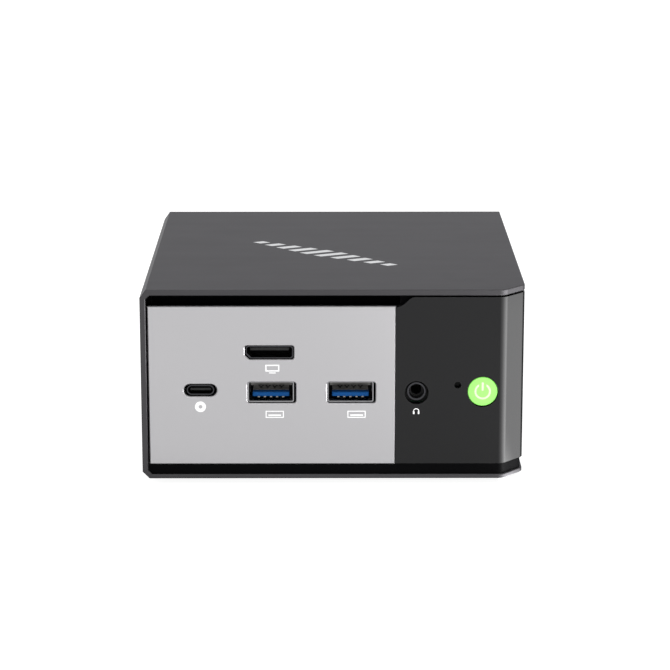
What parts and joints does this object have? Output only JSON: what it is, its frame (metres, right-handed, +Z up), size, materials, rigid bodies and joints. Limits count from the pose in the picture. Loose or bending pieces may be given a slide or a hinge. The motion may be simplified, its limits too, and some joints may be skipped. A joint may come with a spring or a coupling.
{
  "type": "mini computer",
  "caption": "Compact desktop computer box: dark folded metal shell, silver front panel with sockets, glossy black corner cover, round lit power button, rear sockets, blower cooling.",
  "frame": {"origin": "centre of the footprint, on the surface the feet stand on", "axes": "+X to the right seen from the front, +Y to the rear, +Z up; the front panel faces -Y"},
  "size_m": [0.126, 0.132, 0.066],
  "materials": {
    "gunmetal_shell": "fine bead-blasted, dark anodised",
    "emblem_metal": "satin",
    "silver_panel": "fine bead-blasted, clear anodised",
    "gloss_black": "polished",
    "matte_black": "fine moulded texture",
    "rubber": "matt",
    "green_button": "translucent, lit from behind",
    "symbol_white": "satin",
    "port_steel": "plated, drawn",
    "port_black": "moulded",
    "type_a_blue": "moulded",
    "gold_contacts": "gold plated",
    "green_board": "solder mask",
    "chip_black": "moulded",
    "inductor_grey": "pressed ferrite",
    "port_nickel": "black nickel",
    "copper": "plain copper",
    "fin_metal": "plain sheet",
    "fan_black": "moulded",
    "screw_steel": "black zinc",
    "filter_black": "woven mesh",
    "insert_brass": "turned",
    "cell_steel": "satin",
    "cable_black": "smooth jacket"
  },
  "bodies": {
    "case": {"outer_shell": "gunmetal_shell", "lid_emblem": "emblem_metal", "front_panel": "silver_panel", "corner_cover": "gloss_black", "inner_frame": "matte_black", "rear_panel": "matte_black", "dust_filters": "filter_black", "rubber_feet": "rubber", "base_screws": "screw_steel", "rear_panel_screws": "screw_steel", "mounting_inserts": "insert_brass", "motherboard": "green_board", "board_standoffs": "insert_brass", "board_screws": "screw_steel", "type_c_shells": "port_nickel", "type_c_tongues": "port_black", "type_a_shells": "port_steel", "type_a_tongues": "type_a_blue", "type_a_contacts": "port_steel", "video_socket_shells": "port_nickel", "video_socket_tongues": "port_black", "lan_sockets": "port_steel", "lan_contacts": "gold_contacts", "dc_inlet": "port_black", "dc_inlet_pin": "port_steel", "headset_socket": "port_black", "headset_socket_ring": "port_nickel", "switch_bodies": "port_black", "daughterboard": "green_board", "board_link": "port_black", "processor": "chip_black", "cold_plate": "copper", "power_inductors": "inductor_grey", "board_chips": "chip_black", "heat_pipes": "copper", "fin_stack": "fin_metal", "blower_housing": "fan_black", "blower_cover": "screw_steel", "intake_fan_frame": "fan_black", "memory_sockets": "port_black", "memory_modules": "green_board", "memory_chips": "chip_black", "memory_clips": "port_steel", "ssd_sockets": "port_black", "ssd_modules": "green_board", "ssd_chips": "chip_black", "ssd_standoffs": "insert_brass", "ssd_screws": "screw_steel", "wireless_socket": "port_black", "wireless_card": "green_board", "wireless_antennas": "green_board", "antenna_cables": "cable_black", "coin_cell_holder": "port_black", "coin_cell": "cell_steel"},
    "power_button": {"power_button": "green_button", "power_symbol": "symbol_white", "power_switch_plunger": "port_black"},
    "reset_plunger": {"reset_switch_plunger": "port_black"},
    "blower_rotor": {"blower_rotor": "fan_black"},
    "intake_fan_rotor": {"intake_fan_rotor": "fan_black"}
  },
  "joints": [
    {"name": "power_button_press", "type": "slide", "parent": "case", "child": "power_button", "axis": [0, 1, 0], "range_m": [0, 0.0003], "stiffness_N_per_m": 3000, "springref_m": -0.0003},
    {"name": "reset_press", "type": "slide", "parent": "case", "child": "reset_plunger", "axis": [0, 1, 0], "range_m": [0, 0.00025], "stiffness_N_per_m": 3000, "springref_m": -0.0003},
    {"name": "blower_spin", "type": "hinge", "parent": "case", "child": "blower_rotor", "pos_m": [0.02, 0.006, 0.05], "axis": [0, 0, 1], "continuous": true},
    {"name": "intake_fan_spin", "type": "hinge", "parent": "case", "child": "intake_fan_rotor", "pos_m": [0, 0.004, 0.009], "axis": [0, 0, 1], "continuous": true}
  ]
}
